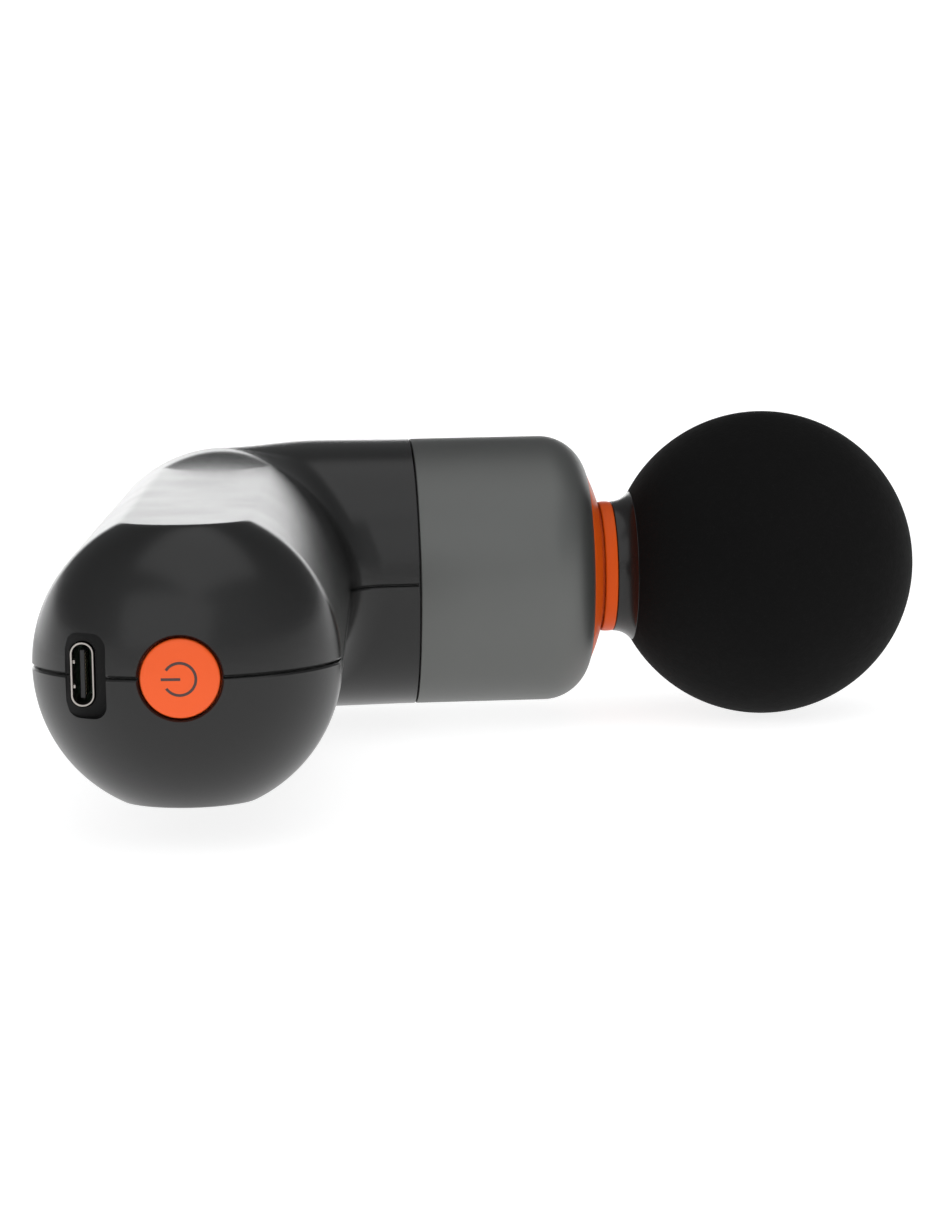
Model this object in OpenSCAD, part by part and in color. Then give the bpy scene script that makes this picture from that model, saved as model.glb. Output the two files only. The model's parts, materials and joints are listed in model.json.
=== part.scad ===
// Mini massage gun lying on its side: percussion axis along X with the ball at +X,
// handle along -Y, parting plane of the two shells horizontal. Millimetres.

/* [Handle] */
// Diameter of the round handle
handle_d = 43.5; // [36:0.5:53]
// Crossing of the two axes to the rim of the end dome
handle_len = 110; // [91:1:132]
// Height of the end dome above its rim
dome_h = 17.1; // [14.2:0.1:18]
// Lean of the handle away from the ball, in degrees
rake = 3.6; // [0:0.1:5]
// Depth of the two side flats below the round
flat_depth = 1.95; // [1.6:0.05:2.4]
// Crossing of the axes to where a side flat starts to run out
runout_start = 9; // [9:0.2:18]
// Crossing of the axes to where a side flat has its full depth
runout_end = 31; // [28:0.5:40]
// Wall of the moulded shells
wall = 2; // [1.6:0.1:2.4]
// Radius of the inside corner between handle and barrel
crotch_r = 6; // [4:0.5:9]

/* [Barrel and nose] */
// Widest diameter of the barrel
barrel_d = 45.4; // [40:0.2:54]
// Crossing of the axes to the joint between shells and nose sleeve
barrel_len = 31.6; // [29:0.2:38]
// Length of the nose sleeve
sleeve_len = 29.9; // [27:0.1:36]
// Wall of the nose sleeve
sleeve_wall = 1.6; // [1.2:0.1:2]
// Corner radius at the front of the sleeve
nose_round = 8; // [6.6:0.2:8.6]
// Outer diameter of the coloured nose bezel
bezel_d = 33; // [32.6:0.2:34]

/* [Drive] */
// Throw of the crank, half the stroke
throw = 3; // [2.5:0.1:3.6]
// Outer diameter of the piston tube
piston_d = 20; // [18:0.5:21]
// Outer diameter of the crank bearing
bearing_d = 10; // [8:0.5:12]
// Diameter of the crank pin
crank_pin_d = 5; // [4:0.5:6]
// Diameter of the motor shaft
shaft_d = 4; // [3:0.5:5]
// Length of the motor's rotor bell
bell_len = 17.7; // [15:0.1:19]

/* [Massage head] */
// Diameter of the foam ball
ball_d = 52; // [46:0.5:62]
// Diameter of the stem that plugs into the piston
stem_d = 14.9; // [12.4:0.1:15.4]
// Length of the stem inside the piston
stem_len = 21; // [17.5:0.5:24]
// Diameter of the collar and its coloured ring
collar_d = 22.2; // [21:0.2:24]
// Width of the coloured ring
ring_w = 2.8; // [2:0.1:3]
// Length of the flared collar
flare_len = 3.3; // [3:0.1:5]
// Diameter of the flare where it meets the ball
flare_d = 25.6; // [24:0.2:28]

/* [Button and port] */
// Diameter of the power button
button_d = 10.9; // [9.5:0.1:13]
// Travel of the power button
button_travel = 0.6; // [0.4:0.1:0.8]
// Width of the port's metal shell
usb_w = 8.94; // [8.94:0.01:9]
// Thickness of the port's metal shell
usb_t = 3.26; // [3.2:0.01:3.3]
// Port centre to the handle axis
usb_off = 13.7; // [12.6:0.1:14]

/* [Fits] */
// Radial clearance of a running fit
run_gap = 0.05; // [0.02:0.01:0.1]
// Gap between neighbouring pieces of one assembly
part_gap = 0.3; // [0.2:0.05:0.4]
// Visible gap round the button and between the shells
reveal = 0.3; // [0.2:0.05:0.4]
// Side play of the crank bearing in its slot
slot_play = 0.9; // [0.8:0.05:1.2]

/* [Hidden] */
$fn = 64;
eps = 0.01;
big = 400;

// Outside of the body
handle_r = handle_d / 2;
barrel_r = barrel_d / 2;
ball_r = ball_d / 2;
dome_r = (handle_r * handle_r + dome_h * dome_h) / (2 * dome_h);
dome_c = handle_len + dome_h - dome_r;
flat_z = handle_r - flat_depth;
runout_tilt = atan(flat_depth / (runout_end - runout_start));
flat_half = sqrt(pow(handle_r, 2) - pow(flat_z, 2));
crotch_tube_r = flat_z - 0.3;
crotch_c = handle_r + crotch_r;
crotch_x = crotch_c * (1 - sin(rake)) / cos(rake);
swell_x = barrel_len / 2;
seam_gap = reveal / 2;

// Nose
nose_x = barrel_len + reveal + sleeve_len;
sleeve_r = barrel_r - 0.15;
bezel_r = bezel_d / 2;
bezel_dome_r = 39;
bezel_rim_x = nose_x - nose_round + sqrt(pow(nose_round, 2) - pow(bezel_r - sleeve_r + nose_round, 2));
bezel_c = bezel_rim_x - sqrt(pow(bezel_dome_r, 2) - pow(bezel_r, 2));
bezel_t = 2;
spigot_len = 6.4;

// Massage head, from the nose outwards
collar_r = collar_d / 2;
flare_r = flare_d / 2;
stem_r = stem_d / 2;
bezel_hole_r = collar_r + reveal + 0.2;
collar_x = bezel_c + sqrt(pow(bezel_dome_r, 2) - pow(bezel_hole_r, 2)) - 0.2;
flare_x = collar_x + ring_w + flare_len;
flare_arc = (pow(flare_len, 2) + pow(flare_r - collar_r, 2)) / (2 * (flare_r - collar_r));
ball_x = flare_x + sqrt(pow(ball_r, 2) - pow(flare_r, 2));
core_r = 10;
core_end = ball_x - 6;
ring_seat_r = collar_r - 1.8;
o_ring_r = 0.75;

// Piston and its guides
piston_r = piston_d / 2;
piston_x1 = collar_x - part_gap;
socket_x0 = piston_x1 - stem_len - part_gap;
bush_r = piston_r + 3;
frame_r = bush_r + 1.6;
frame_x0 = barrel_len - 6.6;
frame_x1 = bezel_rim_x - 4.6;
bush_len = 11;
skirt_x = frame_x1 - 3;
flange_x = barrel_len - 2;
flange_t = 1.8;

// Crank, yoke and motor, measured along the motor axis from the yoke's mid plane
bearing_r = bearing_d / 2;
bearing_w = 4;
yoke_t = 5;
yoke_rim = 3.3;
slot_w = bearing_d + 2 * slot_play;
slot_h = bearing_d + 2 * throw + 2 * part_gap;
yoke_x0 = -throw - slot_w / 2 - yoke_rim;
yoke_x1 = -throw + slot_w / 2 + yoke_rim;
web_r = 9;
web_off = 2;
web_a = yoke_t / 2 + 1.9;
web_t = 4.4;
web_b = web_a + web_t;
hub_r = 5;
hub_b = web_b + 2.7;
neck_r = piston_r - 3.5;
neck_x = web_r + web_off + 3 * part_gap;
neck_end = neck_x + 16;
piston_x0 = neck_x + 4;
cross_pin_r = 1.5;
cross_pin_x = piston_x0 + 5;
shaft_r = shaft_d / 2;
shaft_tip = web_a + 2.4;
bell_a = hub_b + part_gap;
bell_b = bell_a + bell_len;
base_a = bell_b + 0.8;
base_t = 2;
base_b = base_a + base_t;
bell_wall = 1.5;
bell_r = min(handle_r - wall - base_b * tan(rake), flat_z - wall) - 0.78;
magnet_t = 1.5;
air_gap = 0.6;
stator_r = bell_r - bell_wall - magnet_t - air_gap;
stator_a = bell_a + 4.5;
stator_b = base_a - 4;
race_r = 4.5;
race_w = 3;
hub_tube_r = race_r + 1.5;
slots = 9;
poles = 14;
tooth_half = stator_r * sin(140 / slots);
motor_rib_t = 1.6;
motor_rib_r = bell_r - 1.5;

// Battery, boards, button and port, measured along the handle axis
board_r = handle_r - wall - 1.6;
board_b = handle_len - 0.8;
board_t = 1.6;
board_a = board_b - board_t;
boss_r = 2.7;
boss_t = board_a - part_gap - boss_r;
tab_t = 0.3;
cell_b = boss_t - boss_r - part_gap - tab_t;
cell_a = base_b + 3.9;
cell_r = (handle_r - wall - 1.45) / 2;
cell_u = cell_r + 0.15;
pad_t = 1.4;
holder_t = 5;
channel_w = 5.6;
lead_r = 0.65;
lead_z = cell_r - 0.8;
dome_top = dome_c + dome_r;
button_r = button_d / 2;
flange_button_r = button_r + 1.5;
button_flange_b = dome_c + sqrt(pow(dome_r - wall, 2) - pow(flange_button_r, 2)) - part_gap;
button_flange_t = 1.4;
rod_r = 2;
switch_h = 3.7;
rod_a = board_b + switch_h + 0.7 + 0.1 + button_travel;
guide_r = 6.4;
guide_b = rod_a + 4.3;
recess_w = usb_w + 3.3;
recess_t = usb_t + 2.6;
recess_off = usb_off - 0.6;
recess_floor = dome_c + sqrt(pow(dome_r, 2) - pow(usb_off, 2)) - 2.5;
usb_mouth = recess_floor + 0.6;
pocket_wall = 1.2;
usb_wall = 0.3;

// Screws that hold the shells together; at the nose the sleeve clamps them round the spigot
screw_r = 1.1;
head_r = 1.95;
head_h = 1.6;
seat_z = 8.5;
screw_top = 7;
boss_y = frame_r + part_gap + boss_r;
elbow_boss = [-11, 12];
boss_points = concat(
    [[frame_x0 + 1, boss_y], elbow_boss],
    [for (s = [-1, 1]) handle_xy(s * (handle_r - wall - 5.7), boss_t)]
);

// The row's origin is the bottom centre of the whole object
x_min = -(handle_len * sin(rake) + handle_r * cos(rake));
x_max = ball_x + ball_r;
y_min = -(dome_c * cos(rake) + dome_r);
y_max = max(ball_r, barrel_r);
base_shift = [-(x_min + x_max) / 2, -(y_min + y_max) / 2, max(ball_r, barrel_r)];

soft_black = [0.13, 0.13, 0.13];
gunmetal = [0.38, 0.39, 0.38];
accent = [0.92, 0.36, 0.16];
foam_black = [0.05, 0.05, 0.05];
steel = [0.72, 0.73, 0.75];
aluminium = [0.78, 0.79, 0.8];
copper = [0.72, 0.4, 0.2];
board_green = [0.05, 0.3, 0.16];

// Point in the XY plane at side offset u and distance t along the handle
function handle_xy(u, t) = [u * cos(rake) - t * sin(rake), -u * sin(rake) - t * cos(rake)];

// ---- placing ----

module seated() translate(base_shift) children();

// Local Z runs down the handle, local X to its side, local Y up
module on_handle(t = 0, u = 0)
    rotate([0, 0, -rake]) rotate([90, 0, 0]) translate([u, 0, t]) children();

// Local Z runs from the crank to the motor's base, local X forward, local Y up
module on_motor(t = 0) rotate([90, 0, 0]) translate([0, 0, t]) children();

// Local Z runs forward along the barrel, local Y stays
module on_barrel(x = 0) rotate([0, 90, 0]) translate([0, 0, x]) children();

// ---- shared shapes ----

module tube(r_out, r_in, h) difference() {
    cylinder(r = r_out, h = h);
    translate([0, 0, -1]) cylinder(r = r_in, h = h + 2);
}

// Rectangle with round corners, centred
module round_rect(w, h, r) {
    square([w - 2 * r, h], center = true);
    square([w, h - 2 * r], center = true);
    for (x = [-1, 1], y = [-1, 1])
        translate([x * (w / 2 - r), y * (h / 2 - r)]) circle(r);
}

// Handle with its end dome and round elbow, drawn in by inset
module handle_form(inset) {
    r = handle_r - inset;
    on_handle() rotate_extrude() {
        intersection() {
            circle(r);
            translate([0, -handle_r]) square(handle_r + eps);
        }
        intersection() {
            square([r, dome_c + dome_r]);
            union() {
                square([r, dome_c]);
                translate([0, dome_c]) circle(dome_r - inset);
            }
        }
    }
}

// Barrel, swelling from the elbow to its widest place
module barrel_form(inset, x1) {
    on_barrel() cylinder(r1 = handle_r - 0.2 - inset, r2 = barrel_r - inset, h = swell_x);
    on_barrel(swell_x)
        cylinder(r1 = barrel_r - inset, r2 = sleeve_r - inset, h = barrel_len - swell_x);
    if (x1 > barrel_len) on_barrel(barrel_len - eps)
        cylinder(r = sleeve_r - inset, h = x1 - barrel_len);
}

// Bend that rounds the inside corner, lower than the side flats
module crotch_form(inset)
    translate([crotch_x, -crotch_c, 0]) rotate([0, 0, 90]) rotate_extrude(angle = 90 - rake)
        translate([crotch_r + crotch_tube_r + 0.05, 0]) circle(crotch_tube_r - inset);

// What one side flat takes away, with its round run-out towards the elbow
module flat_cut(inset) difference() {
    on_handle() translate([-flat_half - 1, flat_z - inset, runout_start - 3])
        cube([2 * flat_half + 2, handle_r, handle_len + dome_h]);
    on_handle(runout_start) rotate([runout_tilt, 0, 0]) translate([0, 0, -handle_r])
        cylinder(r = handle_r - inset, h = handle_len);
}

// The whole outside of the two shells, drawn in by inset
module body_form(inset, x1 = barrel_len) difference() {
    union() {
        handle_form(inset);
        barrel_form(inset, x1);
        crotch_form(inset);
    }
    flat_cut(inset);
    mirror([0, 0, 1]) flat_cut(inset);
}

module slab(a, b) on_handle(a) translate([-handle_d, -handle_d, 0])
    cube([2 * handle_d, 2 * handle_d, b - a]);

// ---- shells ----

module usb_recess(grow, a, b)
    on_handle(a) translate([-recess_off, 0, 0]) linear_extrude(b - a)
        round_rect(recess_t + 2 * grow, recess_w + 2 * grow, 1.6 + grow);

module usb_slot(grow, a, b)
    on_handle(a) translate([-usb_off, 0, 0]) linear_extrude(b - a)
        round_rect(usb_t + 2 * grow, usb_w + 2 * grow, usb_t / 2 + grow - eps);

module shell_inside() {
    // Ring that holds the drive frame
    on_barrel(flange_x - 0.2 - 2) tube(sleeve_r - wall / 2, frame_r + 0.4, 2);
    // Spigot that carries the sleeve
    on_barrel(barrel_len - 2)
        tube(sleeve_r - sleeve_wall - 0.1, sleeve_r - sleeve_wall - 1.6, 2 + spigot_len);
    // Rib behind the motor base
    intersection() {
        body_form(wall / 2);
        on_motor(base_b + 0.2) tube(handle_d, motor_rib_r, motor_rib_t);
    }
    // Screw bosses
    intersection() {
        body_form(wall / 2);
        for (p = boss_points) translate([p[0], p[1], -barrel_r]) cylinder(r = boss_r, h = barrel_d);
    }
    // Walls of the port recess
    intersection() {
        body_form(wall / 2);
        usb_recess(pocket_wall, recess_floor - 1.5, dome_top);
    }
}

module shell_pair() difference() {
    union() {
        difference() {
            body_form(0);
            body_form(wall, barrel_len + 1);
        }
        shell_inside();
    }
    usb_recess(0, recess_floor, dome_top + 1);
    usb_slot(0.15, recess_floor - 3, dome_top);
    on_handle(button_flange_b) cylinder(r = button_r + reveal, h = dome_h);
}

module upper_shell() color(soft_black) seated() difference() {
    shell_pair();
    translate([-big / 2, -big / 2, seam_gap / 2 - big]) cube(big);
    for (p = boss_points) translate([p[0], p[1], -1]) cylinder(r = screw_r + 0.02, h = screw_top + 2);
}

module lower_shell() color(soft_black) seated() difference() {
    shell_pair();
    translate([-big / 2, -big / 2, -seam_gap / 2]) cube(big);
    for (p = boss_points) translate([p[0], p[1], 0]) {
        translate([0, 0, -seat_z - 1]) cylinder(r = screw_r + 0.15, h = seat_z + 2);
        translate([0, 0, -seat_z - barrel_r]) cylinder(r = head_r + 0.15, h = barrel_r);
    }
}

module shell_screws() color(steel) seated()
    for (p = boss_points) translate([p[0], p[1], -seat_z]) {
        translate([0, 0, -eps]) cylinder(r = screw_r, h = seat_z + screw_top);
        translate([0, 0, -head_h]) difference() {
            cylinder(r = head_r, h = head_h);
            translate([0, 0, -eps]) cylinder(r = 1, h = 0.9, $fn = 6);
        }
    }

module screw_plugs() color(soft_black) seated() intersection() {
    body_form(0.25);
    for (p = boss_points) translate([p[0], p[1], -seat_z - head_h - part_gap - barrel_r])
        cylinder(r = head_r + 0.1, h = barrel_r);
}

// ---- nose ----

module sleeve_profile(r, x0, round) {
    translate([0, x0]) square([r, nose_x - round - x0]);
    translate([0, nose_x - round - eps]) square([r - round, round + eps]);
    translate([r - round, nose_x - round]) circle(round);
}

module nose_sleeve() color(gunmetal) seated() on_barrel() difference() {
    rotate_extrude() intersection() {
        sleeve_profile(sleeve_r, barrel_len + reveal, nose_round);
        square([big, nose_x]);
    }
    rotate_extrude() intersection() {
        translate([0, -sleeve_wall])
            sleeve_profile(sleeve_r - sleeve_wall, barrel_len, nose_round - sleeve_wall);
        square([big, nose_x]);
    }
    translate([0, 0, nose_x - nose_round]) cylinder(r = bezel_r + 0.1, h = 2 * nose_round);
}

module nose_bezel() color(accent) seated() on_barrel() {
    rotate_extrude() intersection() {
        translate([0, bezel_c]) circle(bezel_dome_r);
        translate([bezel_hole_r, bezel_rim_x - bezel_t])
            square([bezel_r - bezel_hole_r, 2 * bezel_t + 2]);
    }
    // Skirt that sits on the drive frame
    translate([0, 0, skirt_x])
        tube(bezel_r - 0.3, frame_r + 0.1, bezel_rim_x - bezel_t - skirt_x + eps);
}

module wiper_seal() color([0.1, 0.1, 0.1]) seated() on_barrel(frame_x1 + 0.2)
    rotate_extrude() difference() {
        translate([piston_r + run_gap, 0]) square([frame_r - 0.3 - piston_r - run_gap, 2]);
        translate([piston_r + 1.4, 1.2]) square([1, 1]);
    }

module drive_frame() color(aluminium) seated() difference() {
    union() {
        on_barrel(frame_x0) cylinder(r = frame_r, h = frame_x1 - frame_x0);
        on_barrel(flange_x) cylinder(r = sleeve_r - sleeve_wall - 1.9, h = flange_t);
    }
    on_barrel(frame_x0 - 1) cylinder(r = bush_r + run_gap, h = frame_x1 - frame_x0 + 2);
}

module bush(x) color([0.85, 0.82, 0.7]) seated() on_barrel(x) tube(bush_r, piston_r + run_gap, bush_len);

module rear_bush() bush(frame_x0 + 0.5);

module front_bush() bush(frame_x1 - bush_len - 0.5);

// Rubber ring between the drive frame and the sleeve
module isolator_ring() color([0.1, 0.1, 0.1]) seated() on_barrel(frame_x1 - 12)
    tube(sleeve_r - sleeve_wall - 0.1, frame_r + 0.05, 4);

// ---- motor ----

module motor_base() color(aluminium) seated() {
    difference() {
        intersection() {
            body_form(wall + 0.15);
            on_motor(base_a) cylinder(r = handle_d, h = base_t);
        }
        on_motor(base_a - 1) cylinder(r = race_r + 0.02, h = base_t + 2);
        for (a = [45:90:315]) on_motor(base_a - 1) rotate(a)
            translate([motor_rib_r + 0.6, 0, 0]) cylinder(r = 0.75, h = base_t + 2);
        lead_channel();
    }
    on_motor(bell_a + 2.2) tube(hub_tube_r, race_r + 0.02, base_a - bell_a - 2.2 + eps);
}

module motor_screws() color(steel) seated()
    for (a = [45:90:315]) on_motor(base_a) rotate(a) translate([motor_rib_r + 0.6, 0, 0]) {
        translate([0, 0, -eps]) cylinder(r = 0.7, h = base_t + 0.15);
        translate([0, 0, -0.6]) cylinder(r = 1.3, h = 0.6);
    }

module stator_core() color([0.35, 0.35, 0.38]) seated() on_motor(stator_a)
    linear_extrude(stator_b - stator_a) difference() {
        union() {
            circle(hub_tube_r + 2.2);
            for (i = [0:slots - 1]) rotate(i * 360 / slots) {
                translate([hub_tube_r + 1, -1.1]) square([stator_r - hub_tube_r - 1.8, 2.2]);
                intersection() {
                    difference() {
                        circle(stator_r);
                        circle(stator_r - 1.2);
                    }
                    translate([0, -tooth_half]) square([stator_r, 2 * tooth_half]);
                }
            }
        }
        circle(hub_tube_r + 0.03);
    }

module stator_windings() color(copper) seated()
    for (i = [0:slots - 1]) on_motor(stator_a - 1.2) rotate(i * 360 / slots) difference() {
        translate([hub_tube_r + 2.6, -1.9, 0])
            cube([stator_r - hub_tube_r - 4.4, 3.8, stator_b - stator_a + 2.4]);
        translate([hub_tube_r, -1.15, 1.15]) cube([stator_r, 2.3, stator_b - stator_a + 0.1]);
    }

module motor_bearings() color(steel) seated()
    for (t = [bell_a + 2.4, base_a - 1.2]) on_motor(t) tube(race_r, shaft_r + 0.02, race_w);

module rotor_bell() color([0.5, 0.5, 0.53]) seated() on_motor(bell_a) difference() {
    cylinder(r = bell_r, h = bell_len);
    translate([0, 0, bell_wall]) cylinder(r = bell_r - bell_wall, h = bell_len);
    translate([0, 0, -1]) cylinder(r = shaft_r + 0.01, h = bell_len);
    for (a = [0:60:300]) rotate(a) translate([bell_r * 0.58, 0, -1])
        cylinder(r = bell_r * 0.14, h = bell_len);
}

module rotor_magnets() color([0.3, 0.3, 0.33]) seated() on_motor(stator_a - 1)
    for (i = [0:poles - 1]) rotate(i * 360 / poles) rotate_extrude(angle = 360 / poles - 2)
        translate([bell_r - bell_wall - magnet_t, 0]) square([magnet_t - 0.02, stator_b - stator_a + 2]);

module motor_shaft() color(steel) seated() on_motor(shaft_tip)
    cylinder(r = shaft_r, h = base_b + 0.6 - shaft_tip);

// ---- crank and yoke, drawn with the crank at its rear dead centre ----

module crank_web() color([0.55, 0.55, 0.58]) seated() on_motor() difference() {
    union() {
        translate([web_off, 0, web_a]) cylinder(r = web_r, h = web_t);
        translate([0, 0, web_a]) cylinder(r = hub_r, h = hub_b - web_a);
    }
    translate([0, 0, shaft_tip]) cylinder(r = shaft_r + 0.01, h = hub_b);
    translate([-throw, 0, web_a - 1]) cylinder(r = crank_pin_d / 2 + 0.01, h = 3.2);
    translate([0, 0, (web_b + hub_b) / 2]) rotate([0, 90, 0]) cylinder(r = 0.9, h = web_r);
}

module crank_set_screw() color(steel) seated() on_motor((web_b + hub_b) / 2)
    translate([shaft_r + 0.05, 0, 0]) rotate([0, 90, 0]) cylinder(r = 0.88, h = hub_r - shaft_r - 0.3);

module crank_pin() color(steel) seated() on_motor() translate([-throw, 0, 0]) {
    translate([0, 0, -bearing_w / 2 - 1.4])
        cylinder(r = crank_pin_d / 2 - 0.02, h = bearing_w / 2 + 1.4 + web_a + 2);
    // Shoulder between the bearing and the web
    translate([0, 0, bearing_w / 2 + 0.1])
        cylinder(r = crank_pin_d / 2 + 0.8, h = web_a - bearing_w / 2 - 0.15);
}

module crank_bearing() color(steel) seated() on_motor(-bearing_w / 2) translate([-throw, 0, 0])
    tube(bearing_r, crank_pin_d / 2, bearing_w);

module pin_clip() color([0.3, 0.3, 0.32]) seated() on_motor(-bearing_w / 2 - 0.9) translate([-throw, 0, 0])
    tube(crank_pin_d / 2 + 1, crank_pin_d / 2, 0.7);

module yoke() color(aluminium) seated() difference() {
    union() {
        translate([yoke_x0, -yoke_t / 2, -slot_h / 2 - yoke_rim])
            cube([yoke_x1 - yoke_x0, yoke_t, slot_h + 2 * yoke_rim]);
        translate([yoke_x1 - 1, -yoke_t / 2, -neck_r]) cube([neck_x - yoke_x1 + 2, yoke_t, 2 * neck_r]);
        on_barrel(neck_x) cylinder(r = neck_r - 0.05, h = neck_end - neck_x);
    }
    // Slot in which the bearing rolls up and down
    translate([-throw - slot_w / 2, -yoke_t, -slot_h / 2]) cube([slot_w, 2 * yoke_t, slot_h]);
    translate([cross_pin_x, 0, -piston_r]) cylinder(r = cross_pin_r, h = piston_d);
}

module piston() color([0.82, 0.83, 0.85]) seated() difference() {
    on_barrel(piston_x0) cylinder(r = piston_r, h = piston_x1 - piston_x0);
    on_barrel(socket_x0) cylinder(r = stem_r + run_gap, h = stem_len + 2);
    on_barrel(piston_x0 - 1) cylinder(r = neck_r, h = neck_end - piston_x0 + 1 + part_gap);
    translate([cross_pin_x, 0, -piston_r - 1]) cylinder(r = cross_pin_r, h = piston_d + 2);
}

module piston_pin() color(steel) seated() translate([cross_pin_x, 0, -piston_r + 0.4])
    cylinder(r = cross_pin_r - 0.02, h = piston_d - 0.8);

// ---- massage head ----

ring_xs = [for (k = [0.3, 0.68]) collar_x - stem_len + k * stem_len];

module head_core() color(soft_black) seated() on_barrel() difference() {
    rotate_extrude() {
        translate([0, collar_x - stem_len]) square([stem_r, stem_len + 1]);
        translate([0, collar_x]) square([ring_seat_r, ring_w + 1]);
        difference() {
            translate([0, collar_x + ring_w]) square([flare_r, flare_len]);
            translate([collar_r + flare_arc, flare_x - flare_len]) circle(flare_arc);
        }
        translate([0, flare_x - 1]) square([core_r, core_end - flare_x + 1]);
    }
    for (x = ring_xs) translate([0, 0, x - o_ring_r - 0.05])
        tube(stem_r + 1, stem_r - 2 * o_ring_r - 0.02, 2 * o_ring_r + 0.1);
}

module accent_ring() color(accent) seated() on_barrel(collar_x)
    tube(collar_r, ring_seat_r + 0.02, ring_w - 0.05);

module stem_rings() color([0.12, 0.12, 0.12]) seated() on_barrel()
    for (x = ring_xs) translate([0, 0, x])
        rotate_extrude() translate([stem_r + run_gap - 0.02 - o_ring_r, 0]) circle(o_ring_r - 0.02);

module foam_ball() color(foam_black) seated() on_barrel() rotate_extrude() difference() {
    intersection() {
        translate([0, ball_x]) circle(ball_r);
        translate([0, ball_x - ball_r]) square(ball_d);
    }
    square([flare_r + 0.1, flare_x + 0.05]);
    square([core_r + 0.05, core_end + 0.2]);
}

// ---- battery ----

module battery_cells() color([0.2, 0.45, 0.3]) seated()
    for (s = [-1, 1]) on_handle(cell_a, s * cell_u) cylinder(r = cell_r, h = cell_b - cell_a);

module lead_channel() on_handle(base_a) translate([-channel_w / 2, -lead_z - channel_w / 2, 0])
    cube([channel_w, channel_w, handle_len]);

module cell_holders() color([0.16, 0.16, 0.17]) seated()
    for (t = [cell_a + 1, cell_b - 1 - holder_t]) difference() {
        intersection() {
            body_form(wall + 0.2);
            slab(t, t + holder_t);
        }
        for (s = [-1, 1]) on_handle(t - 1, s * cell_u) cylinder(r = cell_r + 0.1, h = holder_t + 2);
        lead_channel();
    }

module cell_tabs() color([0.8, 0.8, 0.78]) seated() for (t = [cell_a - tab_t, cell_b])
    on_handle(t) translate([-cell_u - 4, -3.5, 0]) cube([2 * cell_u + 8, 7, tab_t]);

module battery_pad() color([0.25, 0.25, 0.27]) seated() difference() {
    on_handle(cell_a - tab_t - 0.1 - pad_t) cylinder(r = motor_rib_r - 2.6, h = pad_t);
    lead_channel();
}

module battery_board() color(board_green) seated() on_handle(cell_a + holder_t + 3)
    translate([-7, cell_r + 0.9, 0]) {
        cube([14, 1.2, cell_b - cell_a - 2 * holder_t - 6]);
        for (k = [0.2, 0.5, 0.8])
            translate([4, 1, k * (cell_b - cell_a - 2 * holder_t - 6) - 3]) cube([6, 1.6, 6]);
    }

module battery_leads() color([0.7, 0.1, 0.1]) seated()
    for (s = [-1, 1]) on_handle(cell_b + tab_t + 0.05, s * 5)
        cylinder(r = 0.8, h = board_a - cell_b - tab_t - 0.1);

module motor_leads() color([0.75, 0.7, 0.1]) seated()
    for (u = [-1.7, 0, 1.7]) on_handle(base_b - 1, u) translate([0, -lead_z, 0])
        cylinder(r = lead_r, h = board_a - base_b + 0.95);

// ---- boards, button and port ----

module main_board() color(board_green) seated() intersection() {
    body_form(wall + 0.4);
    on_handle(board_a) cylinder(r = board_r, h = board_t);
}

module board_parts() color([0.15, 0.15, 0.16]) seated() on_handle(board_b + 0.02) {
    translate([8, -3, 0]) cube([5, 6, 1]);
    translate([9.5, 9, 0]) cylinder(r = 3, h = 4.5);
    translate([5, -12.5, 0]) cube([7, 5, 2.4]);
    translate([-4, 9, 0]) cube([8, 5, 1.4]);
}

module tact_switch() color([0.6, 0.6, 0.62]) seated() on_handle(board_b + 0.02) {
    translate([-3, -3, 0]) cube([6, 6, switch_h]);
    cylinder(r = 1.7, h = switch_h + 0.7);
}

module button_guide() color([0.16, 0.16, 0.17]) seated() on_handle(board_b + 0.02) difference() {
    cylinder(r = guide_r, h = guide_b - board_b);
    translate([0, 0, -1]) cylinder(r = guide_r - 1.3, h = guide_b - board_b - 1);
    cylinder(r = rod_r + run_gap, h = guide_b);
}

module power_button() color(accent) seated() {
    intersection() {
        on_handle(dome_c) sphere(dome_r);
        on_handle(button_flange_b - eps) cylinder(r = button_r, h = dome_h);
    }
    on_handle(button_flange_b - button_flange_t) cylinder(r = flange_button_r, h = button_flange_t);
    on_handle(rod_a) cylinder(r = rod_r, h = button_flange_b - button_flange_t - rod_a + eps);
}

module usb_shell() color(steel) seated() difference() {
    usb_slot(0, board_b + 0.02, usb_mouth);
    usb_slot(-usb_wall, board_b + 3, usb_mouth + 1);
}

module usb_tongue() color([0.08, 0.08, 0.08]) seated() on_handle(board_b + 3.05) translate([-usb_off, 0, 0])
    linear_extrude(usb_mouth - 0.7 - board_b - 3.05) square([0.7, 6.7], center = true);

upper_shell();
lower_shell();
shell_screws();
screw_plugs();
nose_sleeve();
nose_bezel();
wiper_seal();
drive_frame();
rear_bush();
front_bush();
isolator_ring();
motor_base();
motor_screws();
stator_core();
stator_windings();
motor_bearings();
rotor_bell();
rotor_magnets();
motor_shaft();
crank_web();
crank_set_screw();
crank_pin();
crank_bearing();
pin_clip();
yoke();
piston();
piston_pin();
head_core();
accent_ring();
stem_rings();
foam_ball();
battery_cells();
cell_holders();
cell_tabs();
battery_pad();
battery_board();
battery_leads();
motor_leads();
main_board();
board_parts();
tact_switch();
button_guide();
power_button();
usb_shell();
usb_tongue();
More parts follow.
